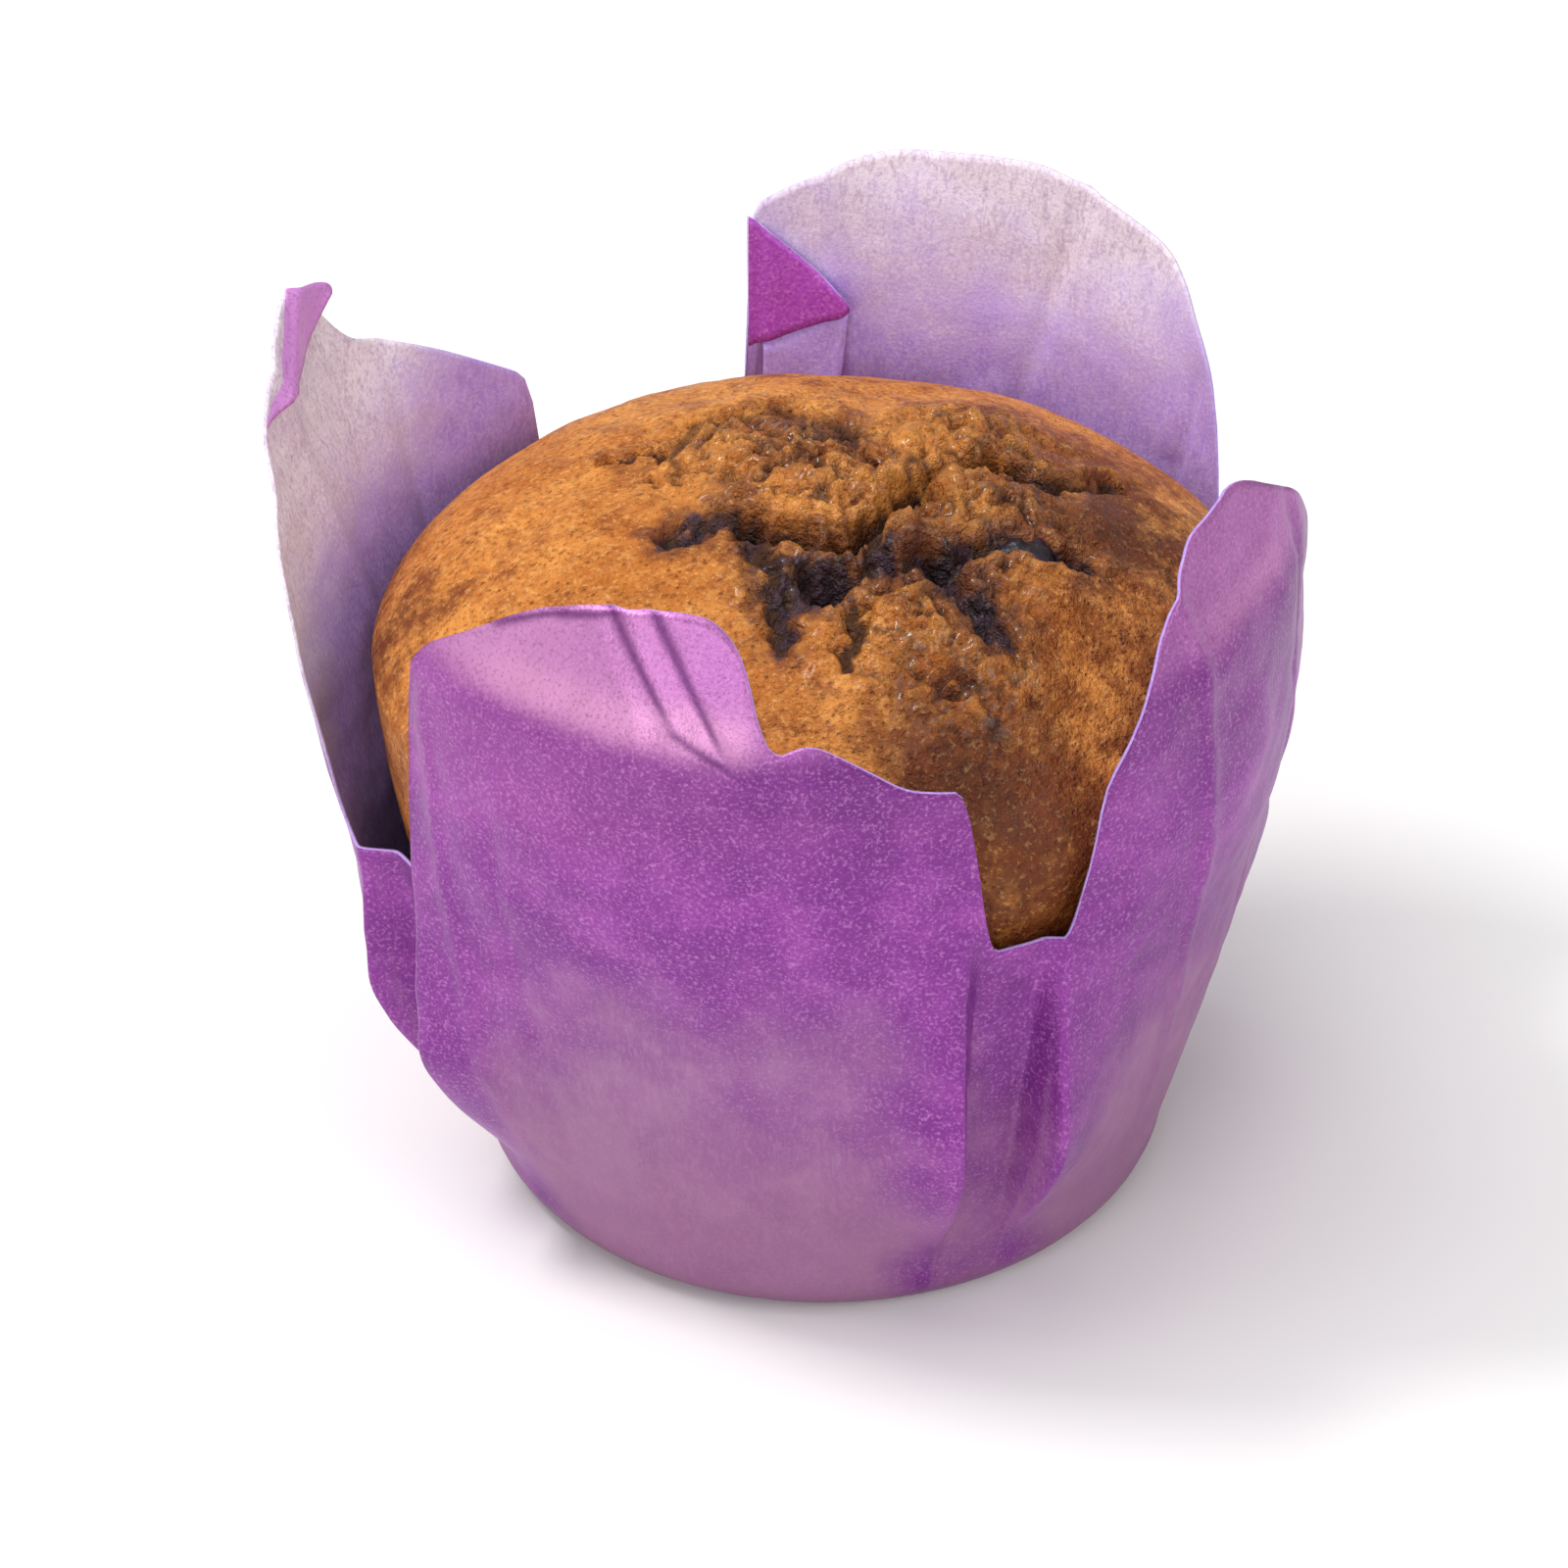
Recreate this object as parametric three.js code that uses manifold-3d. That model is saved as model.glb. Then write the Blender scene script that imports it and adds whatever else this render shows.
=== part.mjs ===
// A baked berry muffin in its tulip-shaped paper case. Millimetres, +Z up.
// The case stands on z = 0 with its axis on Z, and its front looks along -Y.
import * as THREE from "three";
import { mergeVertices } from "three/addons/utils/BufferGeometryUtils.js";
import Module from "manifold-3d";

const wasm = await Module();
wasm.setup();

// Cake: a tapering cup with a rounded foot and a low dome
const FOOT_FLAT = 26; // radius of the flat under the foot
const FOOT_FILLET = 4; // rounding of the foot, at the middle of the paper
const RIM_HEIGHT = 51; // the widest level
const RIM_RADIUS = 39.2;
const RIM_SQUEEZE = 0.92; // depth over width at the rim
const DOME_RISE = 15;
const DOME_FULLNESS = 2.6; // how flat the top stays
const DOME_SHOULDER = 0.7; // how round the shoulder is
const SIDE_CURVE = 1.35; // how much the side bows out on its way up
const UNEVEN = [[2, 1, 0.008], [3, 2, 0.006]]; // waves round the outline: count, phase, share
const RELIEF_FADE = 6; // how close to the rim the crust's relief stays at full height

// Paper case
const PAPER = 0.5; // thickness of the sheet
const GAP = 0.35; // clearance between the sheet and the cake
const FOLD_RADIUS = 40.6; // reach of the upright folds beside each petal
const FOLD_START = 5; // height where a fold leaves the cup
const FOLD_FULL = 24; // height where it reaches its full radius
const PANEL_HALF = 38; // degrees from a petal's middle to its fold
const POCKET_FOOT = 41; // degrees from a petal's middle to the pocket between two petals
const PETAL_ANGLES = [69, 159, 249, 339]; // degrees from +X
const PETAL_SPACING = 90; // degrees from one to the next
const LEAN_OUT_START = 47; // height where a petal that leans out leaves the cake
const LEAN_IN_START = 65; // height where a petal that leans in bends over
const RIPPLE = { height: 0.6, count: 7, twist: 0.12 }; // waves of the petals, twist in radians per mm
// The back left petal's side stands off: middle and spread in degrees, start height, mm per mm
const FLARE = { at: 187, spread: 12, start: 18, rate: 0.13 };
const TIP_HEIGHT = 77; // the highest petal
// How far the loose top of the case stands off the cake, and the heights where it starts and is full
const STAND_OFF = { reach: 0.8, start: 36, full: 46 };
// A knot of the edge is rounded over this share of the shorter run beside it, up to these degrees
const ROUNDED_SHARE = 0.35;
const ROUNDED_MOST = 3;

// Edge of the case, each knot [degrees, height, lean as mm outward per mm of height]
const BACK_RIGHT_PETAL = [[30, 44, 0.05], [37, 62, 0.14], [48, 70, 0.22], [66, 74.5, 0.26],
  [84, 73.5, 0.24], [98.4, 68.8, 0.16], [100.5, 45, 0.05]];
const BACK_LEFT_PETAL = [[127, 45, 0], [129.5, 59, 0.02], [142, 65, 0.24], [151, 68.5, 0.32],
  [155, 74.5, 0.33], [160, 77, 0.33], [166, 75, 0.31], [172, 69.5, 0.33], [184, 59, 0.08],
  [190, 46, 0], [192.5, 38, 0]];
const FRONT_LEFT_PETAL = [[209.5, 38, 0], [211.2, 63.6, 0], [214, 67.3, -0.3], [226, 73.2, -0.5],
  [236, 75.8, -0.55], [249, 77, -0.59], [254.5, 76.6, -0.57], [258.8, 74.4, -0.55],
  [263.2, 66.6, -0.35], [268, 68.2, -0.3], [274, 66.2, -0.1], [279.6, 63, 0], [287.4, 62, 0],
  [290.5, 44, 0]];
const FRONT_RIGHT_PETAL = [[302, 44, 0], [306, 58, 0], [314, 69, -0.25], [328, 75.5, -0.4],
  [342, 77, -0.42], [356, 70, -0.25], [366, 58, 0], [371, 44, 0]];

// Crust relief on the dome, in plan: slow waves, then bumps [x, y, radius, height]
const WAVES = { height: 0.45, xRate: 0.17, xPhase: 1, yRate: 0.15, yPhase: 0.4 };
const BUMP_FALL = 1.6; // how steeply a bump falls off
const BUMPS = [[-3.5, 4.5, 8.5, 2.7], [0.5, 0.5, 4.5, 0.9], [6.6, -4.6, 3.2, 1.5], [6.4, -15, 4.4, 2],
  [0.2, -18, 3.8, 1.3], [12, -17.5, 4.6, 1.3], [13.5, 0.5, 5, 2.2], [20, -10.5, 5, 1.3],
  [13, 13.5, 6, 1.8], [-2, 21, 7, 0.9], [23.5, 1, 4.5, 1.3], [-20, -4, 9, 0.7]];
// Cracks [half width, depth, points in plan]
const CRACKS = [
  [0.6, 1.1, [[-18.9, 10.4], [-14.2, 10.3], [-14.1, 8.1]]],
  [0.6, 0.9, [[-15.1, 5.4], [-14.5, 4.1]]],
  [1.3, 1.5, [[-13.1, -4.3], [-8.9, -1.8], [-6.8, -2.9]]],
  [1.1, 2.7, [[-6.8, -2.9], [-1.7, -5.2], [1.4, -5.9], [5.4, -2.3], [7.9, 2.5], [9.4, 4.2], [14.5, 7]]],
  [1.5, 1.3, [[-6.2, -4.6], [-4.3, -9], [-3.7, -16.9]]],
  [1.2, 2.3, [[-0.2, -9.9], [4.4, -8.6], [9, -7.1], [12.1, -11.9], [14.5, -16]]],
  [1, 1.1, [[2.5, -13.9], [2.9, -17.3], [1.8, -19.5]]],
  [1.1, 1, [[-13, 3.6], [-13.1, 8.5], [-11.2, 14.1], [-4, 15.3], [2.5, 9.3]]],
  [0.9, 1.6, [[4.1, -4.2], [3.7, -7.1]]],
  [1.2, 2, [[9, -7.1], [16.5, -4.5], [22, -5.5]]],
  [1, 1.7, [[14.5, 7], [19.5, 5.5], [25, 9]]],
];
const POOL = { x: -0.4, y: -10.4, radius: 3, depth: 2.6 }; // hollow round the burst berry

// Burst berries sunk in the cracks: middle in plan, sink under the crust, half sizes, turn
const BERRIES = [
  { name: "berry_front", x: -0.4, y: -10.4, sink: 2.3, half: [3.5, 2.7, 2.2], turn: -0.35 },
  { name: "berry_right", x: 16.8, y: -4.6, sink: 2.5, half: [3.4, 2.8, 2.4], turn: 0.5 },
];
// Wrinkles of the berries: share of the radius, waves and phases along X, Y and Z
const BERRY_WRINKLE = { size: 0.05, rates: [5, 4, 4], phases: [1, 2, Math.PI / 2] };
const BERRY_POOL_SHARE = 0.5; // share of the pool's depth that a berry follows down

// Mesh steps
const CAKE_COLUMNS = 80;
const CAKE_SIDE_RINGS = 8;
const CAKE_DOME_RINGS = 20;
const WIDEST_COLUMNS = 6; // degrees between the sheet's columns
const CLOSEST_COLUMNS = 0.9;
const FLAT_RINGS = 2; // rings of the sheet that lie flat under the foot
const INNER_RING = 13; // radius of the first of them
const CUP_ROWS = 7; // level rows between the foot and the petals
const PETAL_ROWS = 8; // rows from there to the cut edge
const LEVEL_ROWS_TOP = 35; // height where the level rows end
const FILLET_TURNS = [30, 60]; // degrees round the foot's fillet
const PROFILE_POINTS = 61; // points the dome's profile runs through
const BERRY_SEGMENTS = [14, 8]; // round and from top to bottom
const MERGE_DISTANCE = 1e-5;

const BOTTOM_MIDDLE = PAPER / 2;
const FILLET_TOP = BOTTOM_MIDDLE + FOOT_FILLET;
const CAKE_INSET = PAPER / 2 + GAP; // from the middle of the sheet to the cake
const FOOT_RADIUS = FOOT_FLAT + FOOT_FILLET - CAKE_INSET;

const radians = THREE.MathUtils.degToRad;
const smooth = (value, from, to) => THREE.MathUtils.smoothstep(value, from, to);
const degreesApart = (a, b) => Math.abs(((a - b + 540) % 360) - 180);

// Radius of the cake's side at a height, before it is squeezed
function sideRadius(z) {
  const t = THREE.MathUtils.clamp((z - FILLET_TOP) / (RIM_HEIGHT - FILLET_TOP), 0, 1);
  return FOOT_RADIUS + (RIM_RADIUS - FOOT_RADIUS) * (1 - (1 - t) ** SIDE_CURVE);
}

// A point at an angle, radius and height, with the real outline's squeeze and unevenness
function place(angle, radius, z) {
  const share = smooth(z, 0, RIM_HEIGHT);
  let uneven = 1;
  for (const [count, phase, size] of UNEVEN) uneven += share * size * Math.sin(count * angle + phase);
  const squeeze = 1 - (1 - RIM_SQUEEZE) * share;
  return new THREE.Vector3(
    radius * uneven * Math.cos(angle),
    radius * uneven * squeeze * Math.sin(angle),
    z,
  );
}

// A closed solid through rings of points, capped at two poles; the rings from `flipFrom`
// on are split along the other diagonal, so that both faces of a sheet match
function loft(rings, firstPole, lastPole, flipFrom = Infinity) {
  const columns = rings[0].length;
  const points = [firstPole, ...rings.flat(), lastPole];
  const last = points.length - 1;
  const at = (ring, column) => 1 + ring * columns + (column % columns);
  const index = [];
  for (let column = 0; column < columns; column += 1) {
    index.push(0, at(0, column + 1), at(0, column));
    index.push(last, at(rings.length - 1, column), at(rings.length - 1, column + 1));
    for (let ring = 0; ring < rings.length - 1; ring += 1) {
      const a = at(ring, column);
      const b = at(ring, column + 1);
      const c = at(ring + 1, column + 1);
      const d = at(ring + 1, column);
      if (ring >= flipFrom) index.push(a, b, d, b, c, d);
      else index.push(a, b, c, a, c, d);
    }
  }
  const geometry = new THREE.BufferGeometry().setFromPoints(points);
  geometry.setIndex(index);
  return geometry;
}

function toManifold(geometry) {
  const bare = geometry.clone();
  bare.deleteAttribute("normal");
  bare.deleteAttribute("uv");
  const merged = mergeVertices(bare, MERGE_DISTANCE);
  return new wasm.Manifold(new wasm.Mesh({
    numProp: 3,
    vertProperties: new Float32Array(merged.attributes.position.array),
    triVerts: new Uint32Array(merged.index.array),
  }));
}

function toGeometry(solid) {
  const mesh = solid.getMesh();
  const geometry = new THREE.BufferGeometry();
  geometry.setAttribute("position", new THREE.BufferAttribute(mesh.vertProperties, mesh.numProp));
  geometry.setIndex(new THREE.BufferAttribute(mesh.triVerts, 1));
  geometry.computeVertexNormals();
  return geometry;
}

// Distance from a point in plan to a crack's line
function distanceToLine(x, y, line) {
  let nearest = Infinity;
  for (let i = 0; i < line.length - 1; i += 1) {
    const [ax, ay] = line[i];
    const dx = line[i + 1][0] - ax;
    const dy = line[i + 1][1] - ay;
    const along = THREE.MathUtils.clamp(((x - ax) * dx + (y - ay) * dy) / (dx * dx + dy * dy), 0, 1);
    nearest = Math.min(nearest, Math.hypot(x - ax - along * dx, y - ay - along * dy));
  }
  return nearest;
}

// Height that the crust's lumps and cracks add to the dome
function relief(x, y) {
  const { xRate, xPhase, yRate, yPhase } = WAVES;
  let height = WAVES.height * Math.sin(xRate * x + xPhase) * Math.sin(yRate * y + yPhase);
  for (const [bumpX, bumpY, radius, rise] of BUMPS) {
    const apart = ((x - bumpX) ** 2 + (y - bumpY) ** 2) / radius ** 2;
    height += rise * Math.exp(-apart * BUMP_FALL);
  }
  for (const [halfWidth, depth, line] of CRACKS) {
    height -= depth * Math.exp(-((distanceToLine(x, y, line) / halfWidth) ** 2));
  }
  const fromPool = Math.hypot(x - POOL.x, y - POOL.y) / POOL.radius;
  return height - POOL.depth * Math.exp(-(fromPool ** 4));
}

// Profile of the dome: radius and height from the rim to the middle, evenly spaced
function domeProfile(count) {
  const curve = new THREE.SplineCurve(Array.from({ length: PROFILE_POINTS }, (_, i) => {
    const share = Math.cos((i / (PROFILE_POINTS - 1)) * Math.PI / 2);
    const rise = (1 - share ** DOME_FULLNESS) ** DOME_SHOULDER;
    return new THREE.Vector2(RIM_RADIUS * share, RIM_HEIGHT + DOME_RISE * rise);
  }));
  return curve.getSpacedPoints(count);
}

function domePoint(angle, radius, z) {
  const point = place(angle, radius, z);
  const inward = 1 - (radius / RIM_RADIUS) ** RELIEF_FADE;
  point.z += inward * relief(point.x, point.y);
  return point;
}

function makeCake() {
  const bottom = BOTTOM_MIDDLE + CAKE_INSET;
  const fillet = FOOT_FILLET - CAKE_INSET;
  const profile = [[INNER_RING, bottom], [FOOT_FLAT, bottom]];
  for (const turn of FILLET_TURNS) {
    profile.push([
      FOOT_FLAT + fillet * Math.sin(radians(turn)),
      FILLET_TOP - fillet * Math.cos(radians(turn)),
    ]);
  }
  for (let i = 0; i < CAKE_SIDE_RINGS; i += 1) {
    const z = FILLET_TOP + (RIM_HEIGHT - FILLET_TOP) * (i / CAKE_SIDE_RINGS);
    profile.push([sideRadius(z), z]);
  }
  const angles = Array.from({ length: CAKE_COLUMNS }, (_, i) => (i / CAKE_COLUMNS) * 2 * Math.PI);
  const rings = profile.map(([radius, z]) => angles.map((angle) => place(angle, radius, z)));
  const dome = domeProfile(CAKE_DOME_RINGS).slice(0, -1);
  for (const { x: radius, y: z } of dome) {
    rings.push(angles.map((angle) => domePoint(angle, radius, z)));
  }
  const top = domePoint(0, 0, RIM_HEIGHT + DOME_RISE);
  return loft(rings, new THREE.Vector3(0, 0, bottom), top);
}

function makeBerry({ x, y, sink, half, turn }, grow) {
  const geometry = new THREE.SphereGeometry(1, ...BERRY_SEGMENTS);
  const position = geometry.attributes.position;
  const point = new THREE.Vector3();
  const { size, rates, phases } = BERRY_WRINKLE;
  for (let i = 0; i < position.count; i += 1) {
    point.fromBufferAttribute(position, i);
    const waves = point.toArray().map((value, axis) => Math.sin(rates[axis] * value + phases[axis]));
    point.multiplyScalar(1 + size * waves[0] * waves[1] * waves[2]);
    position.setXYZ(i, point.x, point.y, point.z);
  }
  geometry.scale(half[0] + grow, half[1] + grow, half[2] + grow);
  geometry.rotateZ(turn);
  const crust = RIM_HEIGHT + DOME_RISE + relief(x, y) + POOL.depth * BERRY_POOL_SHARE;
  geometry.translate(x, y, crust - sink);
  return geometry;
}

// All petals' knots in order of angle, with one turn's copies on both sides
const EDGE = [...BACK_RIGHT_PETAL, ...BACK_LEFT_PETAL, ...FRONT_LEFT_PETAL, ...FRONT_RIGHT_PETAL];
const WRAPPED_EDGE = [-360, 0, 360].flatMap((shift) => (
  EDGE.map(([angle, height, lean]) => [angle + shift, height, lean])
));

// The knot before an angle in degrees, and how far the angle lies on the way to the next one
function edgeRun(degrees) {
  const first = WRAPPED_EDGE.findIndex((knot) => knot[0] > degrees) - 1;
  const run = WRAPPED_EDGE[first + 1][0] - WRAPPED_EDGE[first][0];
  return { first, share: (degrees - WRAPPED_EDGE[first][0]) / run };
}

// Height and lean of the case's edge at an angle in degrees, with its knots rounded
function edgeAt(degrees) {
  const { first, share } = edgeRun(degrees);
  const knot = share < 0.5 ? first : first + 1;
  const runs = [knot, knot + 1].map((i) => WRAPPED_EDGE[i][0] - WRAPPED_EDGE[i - 1][0]);
  const rounding = Math.min(ROUNDED_MOST, ROUNDED_SHARE * Math.min(...runs));
  const spots = [-1, -0.5, 0, 0.5, 1].map((offset) => edgeRun(degrees + offset * rounding));
  const [height, lean] = [1, 2].map((column) => spots.reduce((total, spot) => {
    const [before, after] = [spot.first, spot.first + 1].map((i) => WRAPPED_EDGE[i][column]);
    return total + THREE.MathUtils.lerp(before, after, spot.share) / spots.length;
  }, 0));
  return { height, lean };
}

// Share of the fold's reach at an angle: full on the fold, none in the pocket
function foldShare(degrees) {
  const apart = Math.min(...PETAL_ANGLES.map((petal) => degreesApart(degrees, petal)));
  if (apart > PANEL_HALF) return 1 - smooth(apart, PANEL_HALF, POCKET_FOOT);
  return (apart / PANEL_HALF) ** 3;
}

// Middle of the sheet at an angle in degrees and a height above the foot
function sheetPoint(degrees, z) {
  const { lean } = edgeAt(degrees);
  const standOff = STAND_OFF.reach * smooth(z, STAND_OFF.start, STAND_OFF.full);
  const cup = sideRadius(z) + CAKE_INSET + standOff;
  const fold = THREE.MathUtils.lerp(cup, FOLD_RADIUS, smooth(z, FOLD_START, FOLD_FULL));
  const rise = Math.max(0, z - (lean > 0 ? LEAN_OUT_START : LEAN_IN_START));
  const wave = Math.sin(radians(RIPPLE.count * degrees) + RIPPLE.twist * z);
  const ripple = RIPPLE.height * smooth(z, RIM_HEIGHT, TIP_HEIGHT) * wave;
  const flared = Math.exp(-((degreesApart(degrees, FLARE.at) / FLARE.spread) ** 2));
  const flare = flared * FLARE.rate * Math.max(0, z - FLARE.start);
  const radius = cup + Math.max(0, fold - cup) * foldShare(degrees) + rise * lean + ripple + flare;
  return place(radians(degrees), radius, z);
}

// Angles of the sheet's columns: every fold and every knot of the edge, and even steps between
function sheetColumns() {
  const offsets = [-POCKET_FOOT, -PANEL_HALF, PANEL_HALF, POCKET_FOOT, PETAL_SPACING / 2];
  const folds = PETAL_ANGLES.flatMap((petal) => offsets.map((offset) => petal + offset));
  const marks = [...folds, ...EDGE.map((knot) => knot[0])].map((angle) => (angle + 360) % 360);
  marks.sort((a, b) => a - b);
  const apart = marks.filter((mark, i) => i === 0 || mark - marks[i - 1] > CLOSEST_COLUMNS);
  return apart.flatMap((mark, i) => {
    const next = i + 1 < apart.length ? apart[i + 1] : apart[0] + 360;
    const steps = Math.ceil((next - mark) / WIDEST_COLUMNS);
    return Array.from({ length: steps }, (_, step) => mark + ((next - mark) * step) / steps);
  });
}

// Rings of the sheet's middle: the flat and fillet of the foot, level rows up the cup, and
// rows that spread out to the cut edge, with one more ring beyond it
function sheetRings(columns) {
  const rings = [INNER_RING, FOOT_FLAT].map((radius) => (
    columns.map((degrees) => place(radians(degrees), radius, BOTTOM_MIDDLE))
  ));
  for (const turn of FILLET_TURNS) {
    const radius = FOOT_FLAT + FOOT_FILLET * Math.sin(radians(turn));
    const z = FILLET_TOP - FOOT_FILLET * Math.cos(radians(turn));
    rings.push(columns.map((degrees) => place(radians(degrees), radius, z)));
  }
  for (let row = 0; row < CUP_ROWS; row += 1) {
    const z = FILLET_TOP + ((LEVEL_ROWS_TOP - FILLET_TOP) * row) / CUP_ROWS;
    rings.push(columns.map((degrees) => sheetPoint(degrees, z)));
  }
  for (let row = 0; row <= PETAL_ROWS + 1; row += 1) {
    rings.push(columns.map((degrees) => {
      const spread = (edgeAt(degrees).height - LEVEL_ROWS_TOP) * (row / PETAL_ROWS);
      return sheetPoint(degrees, LEVEL_ROWS_TOP + spread);
    }));
  }
  return rings;
}

// Both faces of the sheet: its middle, moved half the thickness along its normals
function makeSheet() {
  const columns = sheetColumns();
  const middle = sheetRings(columns);
  const skin = loft(middle, new THREE.Vector3(0, 0, BOTTOM_MIDDLE), new THREE.Vector3(0, 0, TIP_HEIGHT));
  skin.computeVertexNormals();
  const normals = skin.attributes.normal;
  const kept = middle.slice(0, -1);
  const face = (side) => kept.map((ring, i) => ring.map((point, j) => {
    const normal = new THREE.Vector3().fromBufferAttribute(normals, 1 + i * columns.length + j);
    if (i < FLAT_RINGS) normal.set(0, 0, -1);
    return point.clone().addScaledVector(normal, side * PAPER / 2);
  }));
  const rings = [...face(1), ...face(-1).reverse()];
  return loft(rings, new THREE.Vector3(0, 0, 0), new THREE.Vector3(0, 0, PAPER), kept.length);
}

const crust = new THREE.MeshStandardMaterial({ color: 0xc07a3e, roughness: 0.6, metalness: 0 });
const paper = new THREE.MeshStandardMaterial({ color: 0x9a4fa6, roughness: 0.5, metalness: 0 });
const fruit = new THREE.MeshStandardMaterial({ color: 0x2a1c2e, roughness: 0.3, metalness: 0 });

const muffin = new THREE.Group();

function addPart(name, geometry, material) {
  const mesh = new THREE.Mesh(geometry, material);
  mesh.name = name;
  muffin.add(mesh);
}

let cake = toManifold(makeCake());
for (const berry of BERRIES) {
  cake = cake.subtract(toManifold(makeBerry(berry, GAP)));
  addPart(berry.name, toGeometry(toManifold(makeBerry(berry, 0))), fruit);
}
addPart("cake", toGeometry(cake), crust);

addPart("paper_case", toGeometry(toManifold(makeSheet())), paper);

export default muffin;
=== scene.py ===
import math

import bmesh
import bpy
from mathutils import Matrix, Vector, noise


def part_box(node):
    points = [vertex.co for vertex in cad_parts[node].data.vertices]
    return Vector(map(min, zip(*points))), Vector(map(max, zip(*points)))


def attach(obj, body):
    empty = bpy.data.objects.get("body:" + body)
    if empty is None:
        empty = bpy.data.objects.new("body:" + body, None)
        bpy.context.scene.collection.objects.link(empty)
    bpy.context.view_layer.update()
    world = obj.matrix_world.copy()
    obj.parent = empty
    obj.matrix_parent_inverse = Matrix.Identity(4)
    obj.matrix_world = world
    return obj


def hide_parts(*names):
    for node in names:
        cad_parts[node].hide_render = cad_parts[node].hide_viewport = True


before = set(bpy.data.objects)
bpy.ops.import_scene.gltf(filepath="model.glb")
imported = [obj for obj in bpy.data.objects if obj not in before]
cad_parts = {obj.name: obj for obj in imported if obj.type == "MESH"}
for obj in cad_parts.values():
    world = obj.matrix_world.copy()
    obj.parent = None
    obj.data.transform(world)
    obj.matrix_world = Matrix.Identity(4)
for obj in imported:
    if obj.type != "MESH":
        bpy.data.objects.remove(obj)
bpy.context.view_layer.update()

# Shapes are worked out in millimetres and scaled to metres when a piece is finished.
MM = 0.001

# Cake
FOOT_FLAT = 26.0  # radius of the flat foot
FOOT_FILLET = 4.0  # radius of the rounding from the foot to the side
RIM_HEIGHT = 51.0
RIM_RADIUS = 39.2
RIM_SQUEEZE = 0.92  # depth over width at the rim
SIDE_CURVE = 1.35  # how much the side bows out on its way up
SIDE_ROUGHNESS = 0.12
UNEVEN = ((2, 1, 0.008), (3, 2, 0.006))  # waves round the outline: count, phase, share of the radius
DOME_RISE = 15.0
DOME_FULLNESS = 2.6
DOME_SHOULDER = 0.7
DOME_SHARE = 0.72  # share of the sphere that becomes the dome, so that it gets finer faces
RELIEF_FADE = 6  # the higher, the closer to the rim the crust's relief keeps its full height
SWELLS = (0.45, 0.17, 1.0, 0.15, 0.4)  # height, then rate and phase along x and along y
BUMP_FALL = 1.6  # how steeply a bump falls off
BUMPS = (
    (-3.5, 4.5, 8.5, 2.7), (0.5, 0.5, 4.5, 0.9), (6.6, -4.6, 3.2, 1.5), (6.4, -15.0, 4.4, 2.0),
    (0.2, -18.0, 3.8, 1.3), (12.0, -17.5, 4.6, 1.3), (13.5, 0.5, 5.0, 2.2), (20.0, -10.5, 5.0, 1.3),
    (13.0, 13.5, 6.0, 1.8), (-2.0, 21.0, 7.0, 0.9), (23.5, 1.0, 4.5, 1.3), (-20.0, -4.0, 9.0, 0.7),
)  # x, y, radius, height
# Half width, depth, strength of the berry stain, and the line in plan; the crust lifts on its left
CRACKS = (
    (0.5, 1.1, 0.1, ((-18.9, 10.4), (-14.2, 10.3), (-14.1, 8.1))),
    (0.5, 0.9, 0.1, ((-15.1, 5.4), (-14.5, 4.1))),
    (1.3, 1.5, 0.85, ((-13.1, -4.3), (-8.9, -1.8), (-6.8, -2.9))),
    (1.1, 2.7, 0.35, (
        (-6.8, -2.9), (-1.7, -5.2), (1.4, -5.9), (5.4, -2.3), (7.9, 2.5), (9.4, 4.2), (14.5, 7.0),
    )),
    (1.5, 1.3, 0.72, ((-6.2, -4.6), (-4.3, -9.0), (-3.7, -16.9))),
    (1.4, 2.3, 1.05, ((-0.2, -9.9), (4.4, -8.6), (9.0, -7.1), (12.1, -11.9), (14.5, -16.0))),
    (1.0, 1.1, 0.2, ((2.5, -13.9), (2.9, -17.3), (1.8, -19.5))),
    (1.1, 0.7, 0.0, ((-13.0, 3.6), (-13.1, 8.5), (-11.2, 14.1), (-4.0, 15.3), (2.5, 9.3))),
    (0.9, 1.6, 0.6, ((4.1, -4.2), (3.7, -7.1))),
    (1.2, 2.0, 0.7, ((9.0, -7.1), (16.5, -4.5), (22.0, -5.5))),
    (1.0, 1.7, 0.5, ((14.5, 7.0), (19.5, 5.5), (25.0, 9.0))),
)
WANDER = (0.9, 0.5)  # how far the cracks stray from their lines, coarsely and finely
WANDER_RATE = 0.55  # how quickly they stray, per mm
LIFT = (0.55, 0.2)  # how far the crust stands up on a crack's left and right, as shares of its depth
POOL = (-0.4, -10.4, 3.0, 2.6)  # x, y, radius, depth of the hollow round the burst berry
# Craggy, glossy patches: x, y, radius
CRAGS = (
    (-3.0, 5.0, 11.0), (6.0, -4.0, 7.0), (6.0, -15.5, 9.0), (15.0, -4.0, 9.0), (14.0, 10.0, 9.0),
    (-10.0, 11.0, 5.0), (14.0, -20.0, 7.0), (-5.0, -10.0, 4.0),
)
# Where the noise that winds the crevices starts, for x, y and z
WINDING_STARTS = ((3.7, 1.9, 8.3), (6.1, 9.4, 2.2), (0.8, 5.6, 7.5))
# Darker baked patches: x, y, radius, strength
BROWNED = (
    (0.0, 8.0, 8.0, 0.9), (-5.0, 13.0, 7.0, 0.7), (-9.0, -4.0, 5.0, 0.5), (13.0, -26.0, 12.5, 0.88),
    (9.0, -8.0, 10.0, 0.75), (23.0, 2.0, 14.0, 0.8), (14.0, 12.0, 9.0, 0.55), (-38.0, -4.0, 9.0, 0.6),
    (33.0, -18.0, 15.0, 0.7), (-2.0, 24.0, 9.0, 0.35), (-16.0, 9.0, 4.0, 0.4),
)

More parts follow.
